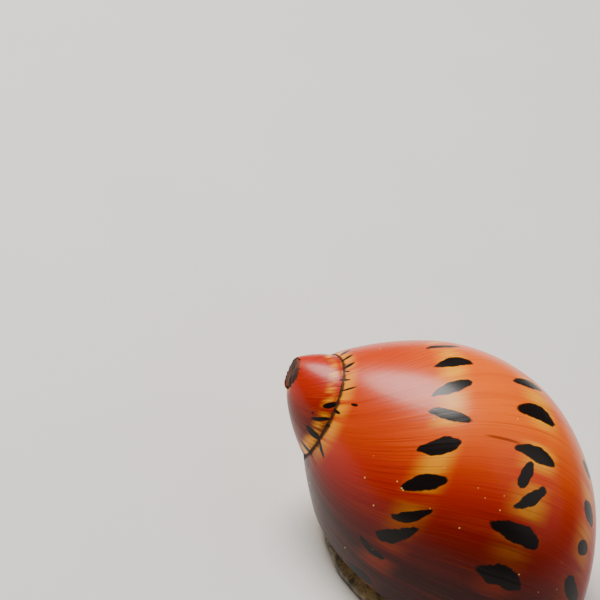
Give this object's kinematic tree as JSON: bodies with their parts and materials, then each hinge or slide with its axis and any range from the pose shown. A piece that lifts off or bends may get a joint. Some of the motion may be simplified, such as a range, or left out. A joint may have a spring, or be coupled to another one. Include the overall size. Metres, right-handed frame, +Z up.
{
  "type": "nerite snail",
  "caption": "Small freshwater snail with a glossy orange-red coiled shell, yellow spiral bands with black dashes, crawling on its flat foot.",
  "frame": {"origin": "on the floor, in the middle of the flat sole of the foot", "axes": "+X from the spire towards the front of the shell, +Z up, the outer lip on the -Y side"},
  "size_m": [0.0328, 0.029, 0.0166],
  "materials": {
    "shell": "satin gloss orange-red shell with yellow bands and black dashes",
    "worn_tip": "rough, worn shell tip",
    "inner_lip": "smooth glossy cream inner lip",
    "operculum": "finely grained grey-brown plate",
    "flesh": "moist grey-brown skin with dark flecks",
    "eye": "black gloss"
  },
  "bodies": {
    "root": {"shell_apex": "worn_tip", "shell_spire": "shell", "shell_body_whorl": "shell", "shell_columellar_deck": "inner_lip", "operculum": "operculum", "mantle": "flesh", "foot": "flesh", "neck": "flesh", "head": "flesh", "snout": "flesh", "tentacle_left_base": "flesh", "tentacle_left_middle": "flesh", "tentacle_left_tip": "flesh", "eye_stalk_left": "flesh", "eye_left": "eye", "tentacle_right_base": "flesh", "tentacle_right_middle": "flesh", "tentacle_right_tip": "flesh", "eye_stalk_right": "flesh", "eye_right": "eye"}
  },
  "joints": []
}
